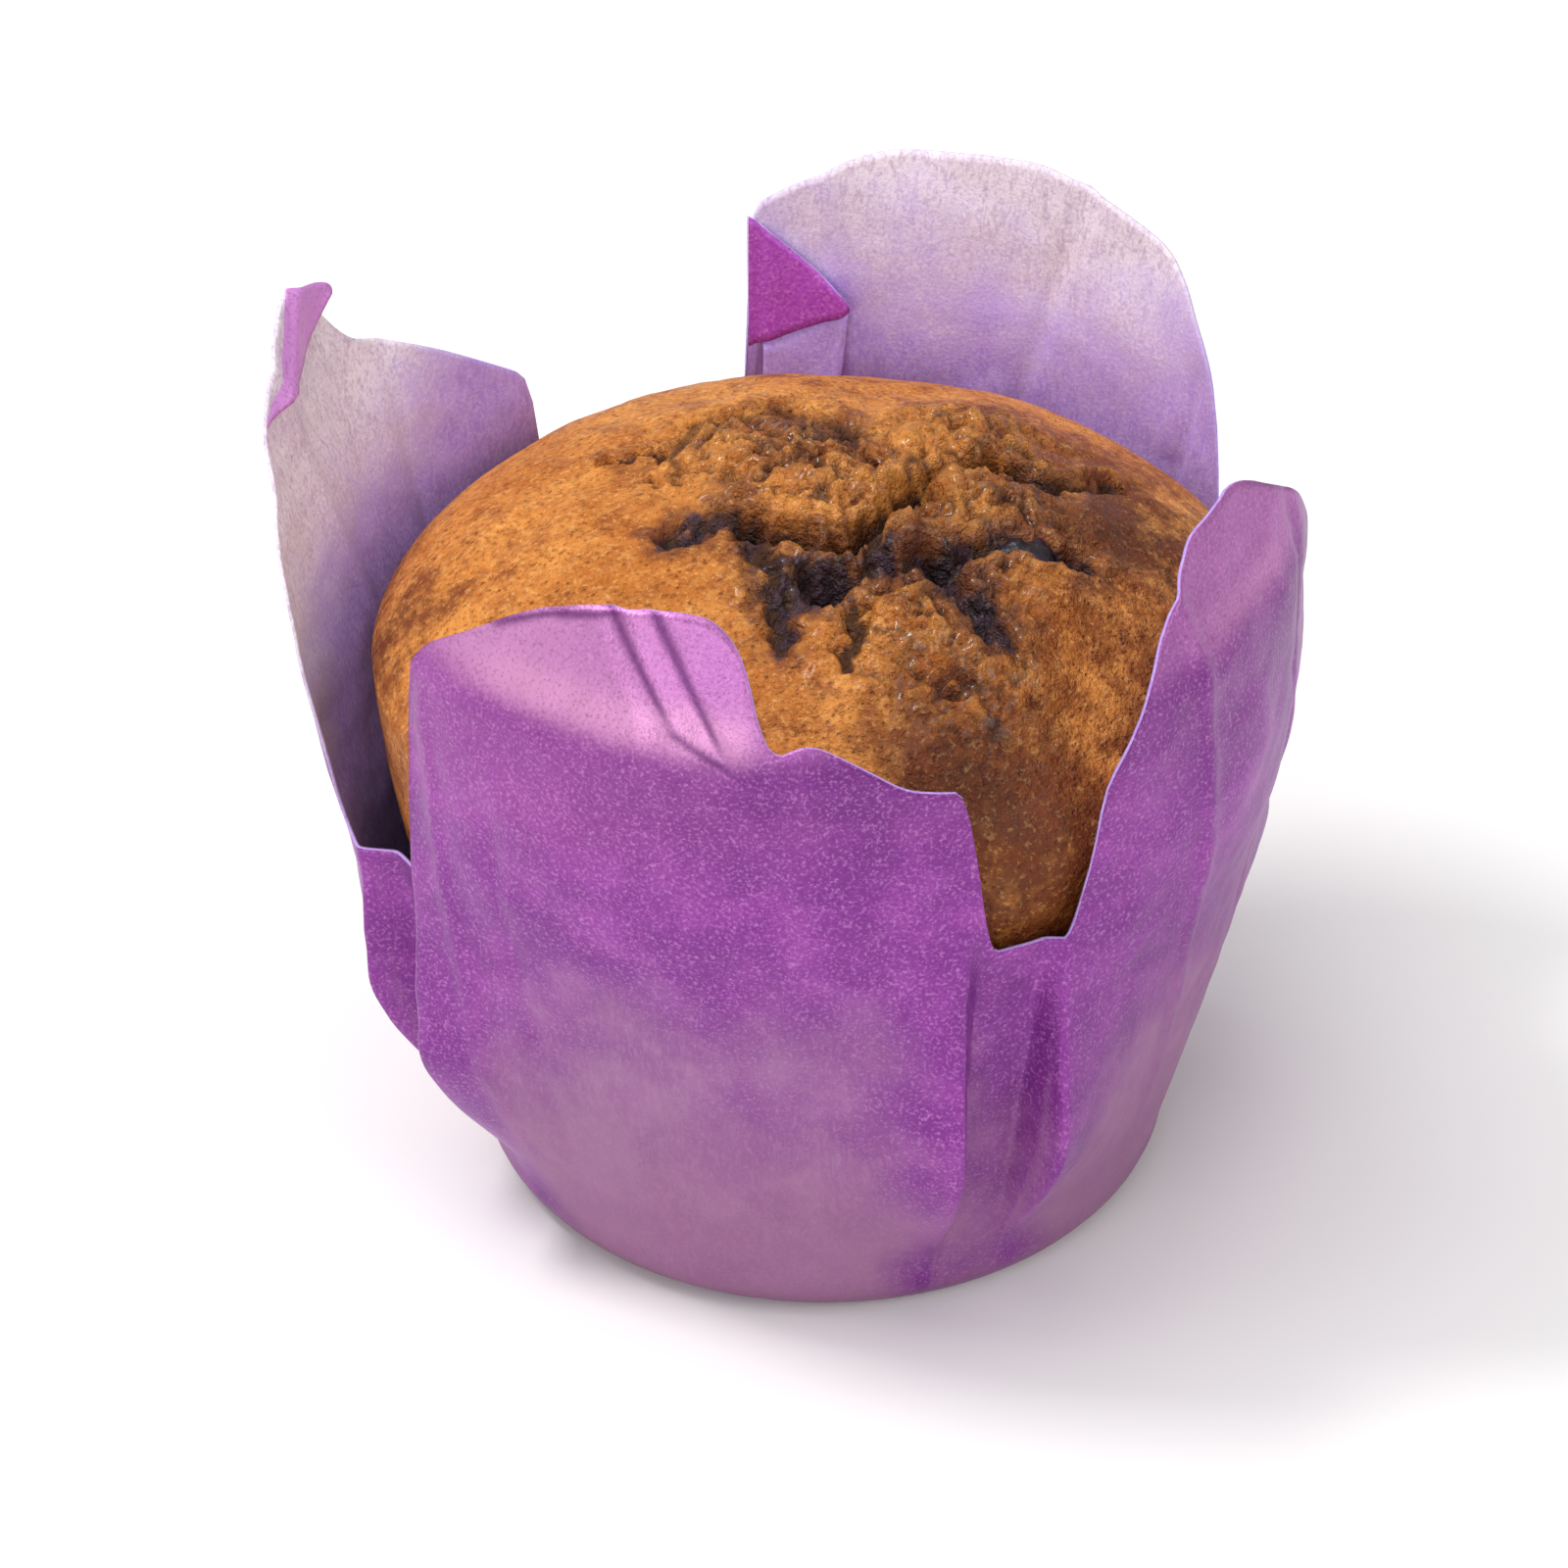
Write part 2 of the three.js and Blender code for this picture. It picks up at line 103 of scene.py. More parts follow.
# Paper case
PAPER = 0.5  # thickness of the solid's sheet
SHOWN_PAPER = 0.3  # thickness of the sheet that shows
GAP = 0.35  # between cake and sheet
UNDERSIDE = 0.02  # height of the lowest face that shows
FOLD_RADIUS = 40.6  # how far from the axis the folds stand
FOLD_START = 5.0  # where they begin to stand out from the cup
FOLD_FULL = 24.0  # and where they stand out fully
PANEL_HALF = 38.0  # degrees from the middle of a petal to its folds
POCKET_FOOT = 41.0  # and to where the sheet is back on the cup, between two petals
FIRST_PETAL = 69.0
PETAL_SPACING = 90.0
PETAL_ANGLES = [FIRST_PETAL + PETAL_SPACING * i for i in range(4)]
LEAN_OUT_START = 47.0  # where the petals that lean out begin to do so
LEAN_IN_START = 65.0  # and those that lean in
RIDGE_HEIGHT = 67.8  # where the bend of the front petals shines
BEND = 2.0  # how far the bend of a leaning petal is rounded to either side
RIPPLE = (0.6, 7, 0.12)  # height, waves round the case, radians of twist per mm
FLARE = (187.0, 12.0, 18.0, 0.13)  # middle and spread in degrees, start height, mm per mm
TIP_HEIGHT = 77.0
STAND_OFF = 0.8  # how much further the sheet stands off the cake near its rim
STAND_OFF_START = 36.0
STAND_OFF_FULL = 46.0
CRUMPLE = ((1.0, 0.3), (2.7, 0.12))  # rate and height of the crumpling, coarse and fine
GREASE_TOP, GREASE_FULL = 50.0, 30.0
POCKET_GREASE = 0.35  # how greasy the sheet is in a pocket, as a share
LEVEL_ROWS_TOP = 35.0  # the rows are level up to here, and follow the cut edge above
COLUMNS = 480
FLAT_ROWS, FILLET_ROWS, CUP_ROWS, PETAL_ROWS = 3, 6, 36, 54
# Knots of the cut edge: degrees, height, lean in mm outward per mm of height
EDGE = (
    (30.0, 44.0, 0.05), (37.0, 62.0, 0.14), (48.0, 70.0, 0.22), (66.0, 74.5, 0.26),
    (84.0, 73.5, 0.24), (98.4, 68.8, 0.16), (100.5, 45.0, 0.05),
    (127.0, 45.0, 0.0), (129.5, 59.0, 0.02), (142.0, 65.0, 0.24), (151.0, 68.5, 0.32),
    (155.0, 74.5, 0.33), (160.0, 77.0, 0.33), (166.0, 75.0, 0.31), (172.0, 69.5, 0.33),
    (184.0, 59.0, 0.08), (190.0, 46.0, 0.0), (192.5, 38.0, 0.0),
    (209.5, 38.0, 0.0), (211.2, 63.6, 0.0), (214.0, 67.3, -0.3), (226.0, 73.2, -0.5),
    (236.0, 75.8, -0.55), (249.0, 77.0, -0.59), (254.5, 76.6, -0.57), (258.8, 74.4, -0.55),
    (263.2, 66.6, -0.35), (268.0, 68.2, -0.3), (274.0, 66.2, -0.1), (279.6, 63.0, 0.0),
    (287.4, 62.0, 0.0), (290.5, 44.0, 0.0),
    (302.0, 44.0, 0.0), (306.0, 58.0, 0.0), (314.0, 69.0, -0.25), (328.0, 75.5, -0.4),
    (342.0, 77.0, -0.42), (356.0, 70.0, -0.25), (366.0, 58.0, 0.0), (371.0, 44.0, 0.0),
)
# Painted shade along sharp folds across the front left petal, seen from the front: ends as x and height,
# half width
FOLD_SHADE_LINES = (
    ((-18.6, 76.8), (-13.4, 68.6), 1.1), ((-15.2, 78.0), (-9.0, 67.0), 1.15),
    ((-13.0, 67.8), (-7.6, 64.8), 0.8), ((-28.0, 71.3), (-22.3, 74.1), 0.75),
    ((-22.6, 74.0), (-17.6, 75.6), 0.85),
)
# A knot is rounded over this share of the shorter run beside it, and over no more degrees than this
ROUNDED_SHARE = 0.35
ROUNDED_MOST = 3.0
MM_PER_DEGREE = 0.68  # round the case
CREASE_FADE = 4.0  # how far a crease runs out past its ends
# Creases pressed into the sheet: two ends as degrees and height, half width, height
CREASES = (
    ((238.0, 76.5), (248.5, 68.5), 1.1, -0.3), ((243.0, 77.5), (257.5, 66.0), 1.2, -0.45),
    ((214.0, 60.0), (221.0, 12.0), 0.8, 0.35), ((226.0, 50.0), (230.0, 8.0), 0.9, -0.3),
    ((268.0, 62.0), (262.0, 10.0), 0.8, 0.35), ((279.0, 58.0), (275.0, 8.0), 0.9, -0.35),
    ((146.0, 68.0), (150.0, 20.0), 0.9, 0.5), ((167.0, 72.0), (163.0, 30.0), 0.8, -0.4),
    ((60.0, 74.0), (72.0, 26.0), 0.9, 0.5), ((90.0, 70.0), (83.0, 30.0), 0.8, -0.4),
    ((322.0, 72.0), (328.0, 14.0), 0.9, 0.4), ((352.0, 70.0), (346.0, 20.0), 0.8, -0.4),
    ((40.0, 60.0), (47.0, 14.0), 0.8, 0.35),
)
# How far a folded tip bulges off the sheet beside its fold, over which share of it, and how much
# further its point stands off
FOLD_BULGE, FOLD_SHARE, TIP_SPREAD = 0.9, 0.2, 0.8
# Tips folded inwards: how blunt the tip is, and the corners as degrees and height, fold line first
FLAPS = {
    "tip_fold_back_left": (0.2, ((158.4, 77.0), (172.0, 69.6), (149.6, 74.4))),
    "tip_fold_back_right": (0.1, ((98.7, 68.4), (99.2, 55.9), (85.4, 59.4))),
}
# The end of the right fold, turned over once more so that its pale face shows
TURNED_OVER = (0.1, ((97.4, 57.0), (86.9, 59.4), (88.0, 51.5), (97.8, 50.5)))

BOTTOM_MIDDLE = PAPER / 2
FILLET_TOP = BOTTOM_MIDDLE + FOOT_FILLET
CAKE_INSET = PAPER / 2 + GAP
FOOT_RADIUS = FOOT_FLAT + FOOT_FILLET - CAKE_INSET


def clamp(value, low=0.0, high=1.0):
    return max(low, min(high, value))


def smooth(value, start, end):
    """A soft step from 0 at the start to 1 at the end."""
    t = clamp((value - start) / (end - start))
    return t * t * (3 - 2 * t)


def blend(a, b, share):
    return a + (b - a) * share


def bell(distance, radius):
    """1 at no distance, falling off round a radius."""
    return math.exp(-((distance / radius) ** 2))


def side_radius(z):
    """Radius of the cake's side at a height."""
    t = clamp((z - FILLET_TOP) / (RIM_HEIGHT - FILLET_TOP))
    return FOOT_RADIUS + (RIM_RADIUS - FOOT_RADIUS) * (1 - (1 - t) ** SIDE_CURVE)


def place(angle, radius, z):
    """A point with the muffin's squeeze from front to back and its uneven outline."""
    share = smooth(z, 0, RIM_HEIGHT)
    uneven = 1 + share * sum(size * math.sin(count * angle + phase) for count, phase, size in UNEVEN)
    squeeze = 1 - (1 - RIM_SQUEEZE) * share
    return Vector((radius * uneven * math.cos(angle), radius * uneven * squeeze * math.sin(angle), z))


def distance_to_line(x, y, line):
    """Distance to a line in plan, and whether the point lies on its left."""
    nearest, left = math.inf, False
    for (ax, ay), (bx, by) in zip(line, line[1:]):
        dx, dy = bx - ax, by - ay
        along = clamp(((x - ax) * dx + (y - ay) * dy) / (dx * dx + dy * dy))
        away = math.hypot(x - ax - along * dx, y - ay - along * dy)
        if away < nearest:
            nearest, left = away, dx * (y - ay) - dy * (x - ax) > 0
    return nearest, left


def finish_piece(name, bm, materials, replaced=None):
    """Scales a bmesh to metres, makes its object, and ties it to the frame."""
    bmesh.ops.scale(bm, vec=(MM, MM, MM), verts=bm.verts)
    mesh = bpy.data.meshes.new(name)
    for face in bm.faces:
        face.smooth = True
    bm.to_mesh(mesh)
    bm.free()
    piece = bpy.data.objects.new(name, mesh)
    bpy.context.scene.collection.objects.link(piece)
    for material in materials:
        mesh.materials.append(material)
    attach(piece, "root")
    if replaced:
        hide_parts(replaced)
    return piece


# Shader graphs

# What is marked on the crust's vertices
MARKS = ("stain", "scorched", "crack_shade", "crag", "relief", "crevice", "browned")


def tone(code):
    """A linear colour from a six-digit hex code."""
    parts = [int(code[i:i + 2], 16) / 255 for i in (0, 2, 4)]
    linear = [c / 12.92 if c <= 0.04045 else ((c + 0.055) / 1.055) ** 2.4 for c in parts]
    return (*linear, 1.0)


class Wire:
    """A node's output that Python arithmetic works on."""

    def __init__(self, finish, socket):
        self.finish = finish
        self.socket = socket

    def __add__(self, other):
        return self.finish.maths("ADD", self, other)

    def __radd__(self, other):
        return self.finish.maths("ADD", other, self)

    def __sub__(self, other):
        return self.finish.maths("SUBTRACT", self, other)

    def __rsub__(self, other):
        return self.finish.maths("SUBTRACT", other, self)

    def __mul__(self, other):
        return self.finish.maths("MULTIPLY", self, other)

    def __rmul__(self, other):
        return self.finish.maths("MULTIPLY", other, self)

    def clamped(self):
        return self.finish.maths("ADD", self, 0.0, use_clamp=True)

    def step(self, low, high):
        """A soft step from 0 at one value to 1 at another."""
        settings = {"interpolation_type": "SMOOTHSTEP"}
        return self.finish.node("ShaderNodeMapRange", settings, {0: self, 1: low, 2: high})


class Finish:
    """A material that is being built."""

    def __init__(self, name, **constants):
        self.material = bpy.data.materials.new(name)
        self.material.use_nodes = True
        self.tree = self.material.node_tree
        self.shader = self.tree.nodes["Principled BSDF"]
        for key, value in constants.items():
            self.shader.inputs[key.replace("_", " ")].default_value = value
        self.place = self.node("ShaderNodeTexCoord", output="Object")

    def node(self, kind, settings=None, values=None, output=0):
        made = self.tree.nodes.new(kind)
        for key, value in (settings or {}).items():
            setattr(made, key, value)
        for key, value in (values or {}).items():
            if isinstance(value, Wire):
                self.tree.links.new(value.socket, made.inputs[key])
            else:
                made.inputs[key].default_value = value
        return Wire(self, made.outputs[output])

    def maths(self, operation, *values, use_clamp=False):
        settings = {"operation": operation, "use_clamp": use_clamp}
        return self.node("ShaderNodeMath", settings, dict(enumerate(values)))

    def mix(self, share, first, second):
        settings = {"data_type": "RGBA", "clamp_factor": True}
        return self.node("ShaderNodeMix", settings, {0: share, 6: first, 7: second}, output=2)

    def noise(self, scale, detail=3.0, roughness=0.5, distortion=0.0, where=None):
        return self.node("ShaderNodeTexNoise", None, {
            "Vector": where or self.place, "Scale": scale, "Detail": detail,
            "Roughness": roughness, "Distortion": distortion,
        })

    def cells(self, scale):
        return self.node("ShaderNodeTexVoronoi", None, {"Vector": self.place, "Scale": scale})

    def painted(self, name):
        """A mark kept on the piece's vertices."""
        return self.node("ShaderNodeAttribute", {"attribute_name": name}, output="Fac")

    def axis(self, index):
        """The object coordinate x, y or z, by its index, in millimetres."""
        return self.node("ShaderNodeSeparateXYZ", None, {0: self.place}, output=index) * (1 / MM)

    def feed(self, **sockets):
        for key, value in sockets.items():
            self.tree.links.new(value.socket, self.shader.inputs[key.replace("_", " ")])

    def bump(self, height, strength, distance):
        self.feed(Normal=self.node("ShaderNodeBump", None, {
            "Height": height, "Strength": strength, "Distance": distance,
        }, output="Normal"))


def golden_crust(finish, broad, mottle, crumb):
    """The crust where it is baked least, darker down the side."""
    golden = finish.mix(broad.step(0.35, 0.66), tone("DA8B3B"), tone("BC6C21"))
    golden = finish.mix(mottle.step(0.42, 0.7) * 0.65, golden, tone("94490F"))
    # Pale crumbs, partly painted highlight
    golden = finish.mix(crumb.step(0.52, 0.3) * 0.35, golden, tone("E6A456"))
    shoulder = finish.axis(2).step(47.0, 60.0)
    return finish.mix((1.0 - shoulder) * 0.55, golden, tone("8A4211"))


def browned_crust(finish, mottle, crumb, crag):
    """The crust where it is baked most, caramelised on its crags."""
    brown = finish.mix(mottle.step(0.32, 0.68), tone("421803"), tone("723208"))
    caramel = finish.mix(crumb.step(0.36, 0.62), tone("461902"), tone("B0601A"))
    return finish.mix(crag * 0.8, brown, caramel)


def berry_juice(finish, mottle, crumb):
    """The crust where burst berries have stained it."""
    purple = finish.mix(crumb.step(0.4, 0.64), tone("1B1218"), tone("483240"))
    return finish.mix(mottle.step(0.5, 0.68) * 0.5, purple, tone("55302A"))


def crust_material():
    finish = Finish("baked_crust", Specular_IOR_Level=0.33, IOR=1.45, Coat_Roughness=0.12)
    stain, scorched, crack_shade, crag, relief, crevice, browned = [finish.painted(mark) for mark in MARKS]
    broad = finish.noise(95.0, 3.0, 0.55)
    mottle = finish.noise(330.0, 4.0, 0.6)
    crumb = finish.noise(760.0, 4.0, 0.65)
    fine = finish.noise(1900.0, 3.0, 0.65)
    pores = finish.cells(1050.0).step(0.04, 0.24)
    specks = finish.noise(1500.0, 2.0, 0.5).step(0.6, 0.74)

    # From the baked ground to the pores and flecks, then the cracks and the juice
    golden = golden_crust(finish, broad, mottle, crumb)
    brown = browned_crust(finish, mottle, crumb, crag)
    reach = (browned + (broad - 0.5) * 0.9 + (mottle - 0.5) * 0.9 + (crumb - 0.5) * 0.4).step(0.16, 0.78)
    colour = finish.mix(reach, golden, brown)
    colour = finish.mix((1.0 - pores) * 0.3, colour, tone("6E3B1A"))
    colour = finish.mix(specks * (0.25 + browned * 0.3), colour, tone("4E2A14"))
    colour = finish.mix(fine.step(0.47, 0.3) * 0.62, colour, tone("6A2E08"))
    # Pale flecks of grain, partly painted glints
    colour = finish.mix(fine.step(0.54, 0.68) * (0.45 - reach * 0.25), colour, tone("F0B872"))
    deep = (browned + (mottle - 0.5) * 0.5).step(0.6, 1.05)
    colour = finish.mix(deep * 0.45, colour, tone("3A1602"))
    # Painted shade in the low parts of the crags and painted highlight on their tops
    colour = finish.mix(relief.step(0.52, 0.2) * crag * 0.8, colour, tone("4A1C06"))
    colour = finish.mix(relief.step(0.58, 0.9) * crag * 0.5, colour, tone("CE8636"))
    # Painted shade in the winding crevices of the crags
    colour = finish.mix(crevice * 0.8, colour, tone("3A1A0C"))
    ring = (scorched + (mottle - 0.5) * 0.9 + (crumb - 0.5) * 0.5).step(0.2, 0.8)
    colour = finish.mix(ring * 0.7, colour, tone("5C2C1C"))
    # Painted shade deep in the cracks
    colour = finish.mix((crack_shade + (crumb - 0.5) * 0.5).step(0.3, 0.9) * 0.9, colour, tone("341B10"))
    core = (stain + (mottle - 0.5) * 0.9 + (crumb - 0.5) * 0.7).step(0.36, 0.74)
    colour = finish.mix(core * 0.94, colour, berry_juice(finish, mottle, crumb))

    wet = (crag * 0.75 + core * 0.15).clamped()
    glint = fine.step(0.55, 0.7)
    finish.feed(
        Base_Color=colour,
        Roughness=0.58 - wet * 0.2 - glint * 0.2 + (crumb - 0.5) * 0.2,
        Coat_Weight=(wet * 0.44 * relief.step(0.2, 0.6) + 0.03 - crack_shade * 0.3).clamped(),
    )
    height = fine * 0.7 + pores * 0.4 - specks * 0.25 + crumb * (0.8 + crag * 2.6) + mottle * crag
    finish.bump(height, 0.9, 0.0006)
    return finish.material


def paper_grain(finish):
    """The sheet's fine glittering grain, long fibres and crumpling."""
    grain = finish.noise(3000.0, 2.0, 0.7)
    fibre_place = finish.node("ShaderNodeMapping", None, {
        "Vector": finish.place, "Scale": (1.0, 1.0, 0.25), "Rotation": (0.0, 0.3, 0.0),
    })
    fibres = finish.noise(1900.0, 3.0, 0.6, 1.2, where=fibre_place)
    crumple = finish.noise(160.0, 4.0, 0.6)
    finish.bump(grain * 0.5 + fibres * 0.35 + crumple * 1.2, 0.4, 0.0003)
    return grain, fibres, crumple


def line_mark(x, z, start, end, half_width):
    """A soft stroke seen from the front, between two ends as x and height."""
    dx, dz = end[0] - start[0], end[1] - start[1]
    length = math.hypot(dx, dz)
    along = ((x - start[0]) * dx + (z - start[1]) * dz) * (1 / length)
    across = ((x - start[0]) * dz - (z - start[1]) * dx) * (1 / length)
    away = x.finish.maths("ABSOLUTE", across)
    ends = along.step(-1.0, 0.5) * along.step(length + 1.5, length - 1.5)
    narrowing = half_width - along * (0.5 * half_width / length)
    return away.step(narrowing, 0.0) * ends


def outer_paper_material():
    finish = Finish("satin_purple_paper", Specular_IOR_Level=0.4)
    grain, fibres, crumple = paper_grain(finish)
    x, y, z = [finish.axis(i) for i in range(3)]
    greasy = finish.painted("greasy")
    bend_highlight = finish.painted("bend_highlight")
    upturned_sheen = finish.painted("upturned_sheen")
    folded = finish.painted("folded")
    satin = finish.mix(crumple.step(0.35, 0.7), tone("7C2A88"), tone("943C9C"))
    # Painted shade under the bend of the petals, from 50 to 69 mm up
    satin = finish.mix(z.step(50.0, 62.0) * z.step(69.0, 65.0) * 0.45, satin, tone("631C6C"))
    front = y.step(0.0, -5.0)
    lit_side = x.step(-3.0, -24.0) * z.step(46.0, 58.0) * front
    satin = finish.mix(lit_side * 0.35, satin, tone("B058AA"))
    # Painted sheen where the petals that lean in tip up, pinker towards the left
    sheen_tone = finish.mix(x.step(-8.0, -28.0), tone("BC78B2"), tone("DC9CC8"))
    satin = finish.mix(upturned_sheen * 0.64, satin, sheen_tone)
    # The folded flaps are painted lighter, palest on the left flap, as painted light
    satin = finish.mix(folded, satin, finish.mix(x.step(-12.0, -36.0), tone("AC48BC"), tone("CC86CE")))
    # Painted highlight along the bend of the petals that lean in
    satin = finish.mix((bend_highlight + (crumple - 0.5) * 0.9).step(0.0, 1.25) * 0.75, satin, tone("DC9AC4"))
    # Light specks of the grain, partly painted glitter
    satin = finish.mix(grain.step(0.48, 0.76) * 0.55, satin, tone("CE90CE"))
    satin = finish.mix(grain.step(0.5, 0.28) * 0.35, satin, tone("5C1E66"))
    soaked = finish.mix(finish.noise(120.0, 3.0, 0.6).step(0.35, 0.7), tone("8A5288"), tone("9F7096"))
    soaked = finish.mix(fibres.step(0.4, 0.75) * 0.4, soaked, tone("B48CAC"))
    soaked = finish.mix(z.step(34.0, 6.0) * 0.6, soaked, tone("95677F"))
    patches = finish.noise(38.0, 3.0, 0.55)
    damp = greasy * 0.85 + z.step(30.0, 8.0) * 0.3 + (patches - 0.5) * 1.5 + (crumple - 0.5) * 0.6
    low = damp.step(0.25, 0.95)
    colour = finish.mix(low * 0.8, satin, soaked)
    # Painted shade along the folds of the front left petal
    for start, end, half_width in FOLD_SHADE_LINES:
        colour = finish.mix(line_mark(x, z, start, end, half_width) * front * 0.75, colour, tone("5F1B68"))
    colour = finish.mix(z.step(5.0, 0.0) * 0.4, colour, tone("6A4052"))
    finish.feed(
        Base_Color=colour,
        Roughness=0.36 + low * 0.16 + (grain - 0.5) * 0.35,
        Metallic=(1.0 - low) * (0.3 + grain * 0.2) * (1.0 - folded * 0.8),
    )
    return finish.material


def inner_paper_material():
    finish = Finish("pale_lilac_paper", Sheen_Weight=0.1)
    grain, fibres, crumple = paper_grain(finish)
    pale = finish.mix(crumple.step(0.3, 0.7), tone("F3E9F3"), tone("DDCCDE"))
    pale = finish.mix(fibres.step(0.42, 0.7) * 0.6, pale, tone("B296B8"))
    pale = finish.mix(grain.step(0.48, 0.75) * 0.55, pale, tone("F8F0F3"))
    pale = finish.mix(grain.step(0.5, 0.28) * 0.4, pale, tone("B08CB8"))
    violet_shade_and_showthrough = finish.mix(fibres.step(0.35, 0.7), tone("9A6CD4"), tone("B894E4"))
    violet_shade_and_showthrough = finish.mix(grain.step(0.48, 0.75) * 0.4, violet_shade_and_showthrough, tone("D0B4E0"))
    width = finish.axis(0)
    depth = finish.axis(1) * (1 / RIM_SQUEEZE)
    from_axis = finish.maths("SQRT", width * width + depth * depth)
    # Painted shade near the cake, with painted light coming through the sheet there
    reach = (from_axis + (crumple - 0.5) * 6.0).step(46.5, 41.5)
    finish.feed(Base_Color=finish.mix(reach * 0.85, pale, violet_shade_and_showthrough), Roughness=0.55 + (grain - 0.5) * 0.25)
    return finish.material


def berry_material():
    finish = Finish("burst_berry", Coat_Weight=0.3, Coat_Roughness=0.12, Specular_IOR_Level=0.35)
    skin = finish.noise(700.0, 4.0, 0.6)
    bloom = finish.noise(260.0, 2.0, 0.5)
    colour = finish.mix(bloom.step(0.4, 0.7), tone("170E1A"), tone("331A34"))
    colour = finish.mix(skin.step(0.6, 0.8) * 0.5, colour, tone("54303E"))
    finish.feed(Base_Color=colour, Roughness=0.22 + skin * 0.3)
    finish.bump(skin + bloom, 0.9, 0.0006)
    return finish.material


def floor_material():
    finish = Finish("pale_floor", Specular_IOR_Level=0.1)
    shade = finish.noise(3.0, 2.0, 0.5)
    finish.feed(
        Base_Color=finish.mix(shade, tone("F4F3F2"), tone("F7F6F6")),
        Roughness=0.8 + shade * 0.05,
    )
    return finish.material


# Cake


def dome_profile():
    """Radius and height of the dome from its middle down to the rim."""
    steps = 240
    profile = []
    for i in range(steps + 1):
        share = math.sin((i / steps) * math.pi / 2)
        rise = (1 - share ** DOME_FULLNESS) ** DOME_SHOULDER
        profile.append((RIM_RADIUS * share, RIM_HEIGHT + DOME_RISE * rise))
    return profile


def cup_profile():
    """Radius and height from the rim down the side and under the foot to its middle."""
    fillet = FOOT_FILLET - CAKE_INSET
    steps = 60
    heights = [blend(RIM_HEIGHT, FILLET_TOP, i / steps) for i in range(steps + 1)]
    profile = [(side_radius(z), z) for z in heights]
    fillet_steps = 9
    for i in range(1, fillet_steps + 1):
        turn = (1 - i / fillet_steps) * math.pi / 2
        profile.append((FOOT_FLAT + fillet * math.sin(turn), FILLET_TOP - fillet * math.cos(turn)))
    profile.append((0.0, BOTTOM_MIDDLE + CAKE_INSET))
    return profile


def along_profile(profile):
    """A function from 0..1 to the point that far along a profile."""
    lengths = [0.0]
    for (ra, za), (rb, zb) in zip(profile, profile[1:]):
        lengths.append(lengths[-1] + math.hypot(rb - ra, zb - za))

    def point(share):
        target = clamp(share) * lengths[-1]
        low, high = 0, len(lengths) - 1
        while high - low > 1:
            middle = (low + high) // 2
            if lengths[middle] <= target:
                low = middle
            else:
                high = middle
        part = (target - lengths[low]) / max(lengths[high] - lengths[low], 1e-9)
        (ra, za), (rb, zb) = profile[low], profile[high]
        return blend(ra, rb, part), blend(za, zb, part)

    return point


def base_relief(x, y):
    """The swells and lumps that the solid has too."""
    swell, x_rate, x_phase, y_rate, y_phase = SWELLS
    height = swell * math.sin(x_rate * x + x_phase) * math.sin(y_rate * y + y_phase)
    for bump_x, bump_y, radius, rise in BUMPS:
        height += rise * math.exp(-((x - bump_x) ** 2 + (y - bump_y) ** 2) / radius ** 2 * BUMP_FALL)
    return height


def crack_relief(x, y):
    """Depth and lift of the cracks, with their stain, scorching and the painted shade in their hollows."""
    here = Vector((x * WANDER_RATE, y * WANDER_RATE, 3.0))
    coarse, fine = WANDER
    ragged_x = x + coarse * noise.noise(here) + fine * noise.noise(here * 3.1)
    ragged_y = y + coarse * noise.noise(here + Vector((7, 3, 1))) + fine * noise.noise(here * 2.9)
    patchy = clamp(0.75 + 0.9 * noise.noise(here * 0.8 + Vector((3, 8, 5))), 0.3, 1.1)
    depth = lift = stain = scorched = crack_shade = 0.0
    for half_width, deep, stained, line in CRACKS:
        away, left = distance_to_line(ragged_x, ragged_y, line)
        width = half_width * (0.9 + 0.6 * noise.noise(here * 1.7 + Vector((half_width, deep, 0))))
        groove = math.exp(-((away / width) ** 3))
        depth += deep * groove
        # Painted shade in the cracks, darker where they are deeper
        crack_shade = max(crack_shade, groove * clamp(0.2 + 0.7 * deep))
        reach = smooth(away, 0.6 * half_width, 1.9 * half_width) * math.exp(-away / 3.2)
        lift = max(lift, reach * deep * LIFT[0 if left else 1])
        stain = max(stain, stained * patchy * bell(away, half_width * 1.7))
        scorched = max(scorched, (0.25 + 0.75 * stained) * bell(away, half_width + 1.9))
    from_pool = math.hypot(ragged_x - POOL[0], ragged_y - POOL[1]) / POOL[2]
    depth += POOL[3] * math.exp(-(from_pool ** 4))
    stain = max(stain, 1.1 * bell(from_pool, 1.35))
    scorched = max(scorched, bell(from_pool, 1.9))
    return depth, lift, {"stain": stain, "scorched": scorched, "crack_shade": crack_shade}


def crust_detail(x, y, z):
    """Crumb relief, craggy near the cracks and nearly smooth elsewhere, with its marks."""
    crag = min(1.0, sum(bell(math.hypot(x - cx, y - cy), radius) ** 1.3 for cx, cy, radius in CRAGS))
    here = Vector((x, y, z))
    rough = noise.fractal(here * 0.36, 0.7, 2.1, 5)
    ridges = 1 - 2 * abs(noise.noise(here * 0.62 + Vector((4, 9, 2))))
    fine_ridges = 1 - 2 * abs(noise.noise(here * 1.3 + Vector((1, 5, 8))))
    push = [noise.noise(here * 0.5 + Vector(start)) for start in WINDING_STARTS]
    winding = here + 1.4 * Vector(push)
    crevice = bell(noise.noise(winding * 0.27 + Vector((9, 2, 6))), 0.07) * smooth(crag, 0.35, 0.85)
    gentle = noise.noise(here * 0.2) * 0.5 + noise.noise(here * 0.8) * 0.12
    lumps = rough * 1.15 + ridges * 0.6 + fine_ridges * 0.3
    marks = {"crag": crag, "relief": clamp(0.5 + 0.45 * (lumps - 0.25) * crag), "crevice": crevice}
    return gentle + crag * lumps - 0.8 * crevice, marks


